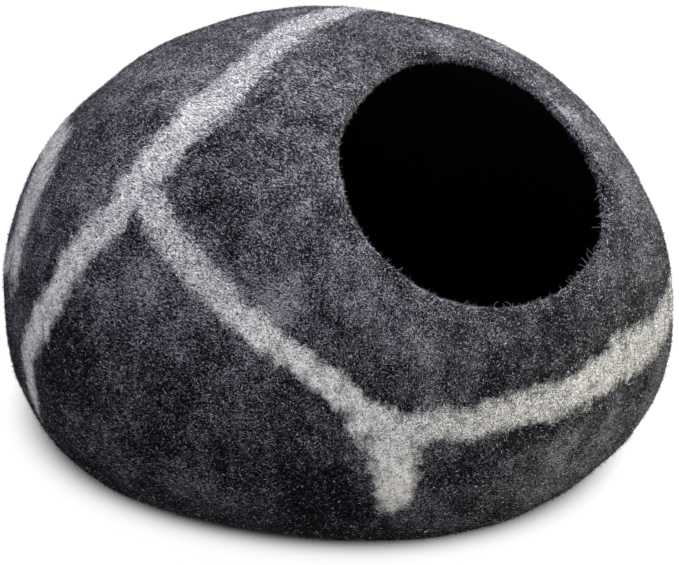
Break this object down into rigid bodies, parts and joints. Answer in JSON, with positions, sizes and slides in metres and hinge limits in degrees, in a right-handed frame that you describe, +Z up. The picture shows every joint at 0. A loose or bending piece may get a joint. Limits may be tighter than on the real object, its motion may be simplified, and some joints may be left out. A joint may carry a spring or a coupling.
{
  "type": "felt cat cave",
  "caption": "Pebble-shaped cat cave of thick wet-felted wool in one seamless shell, with a round mouth high on one side and a flat base that rests on the floor.",
  "frame": {"origin": "middle of the plan at floor level, under the flat base", "axes": "+Z up from the floor; the mouth looks towards -Y and up; +X is to the right as seen when facing the mouth"},
  "size_m": [0.4857, 0.4756, 0.311],
  "materials": {
    "charcoal_felt": "matt, fuzzy wet-felted wool, charcoal melange with soft light grey bands"
  },
  "bodies": {
    "root": {"felt_shell": "charcoal_felt"}
  },
  "joints": []
}
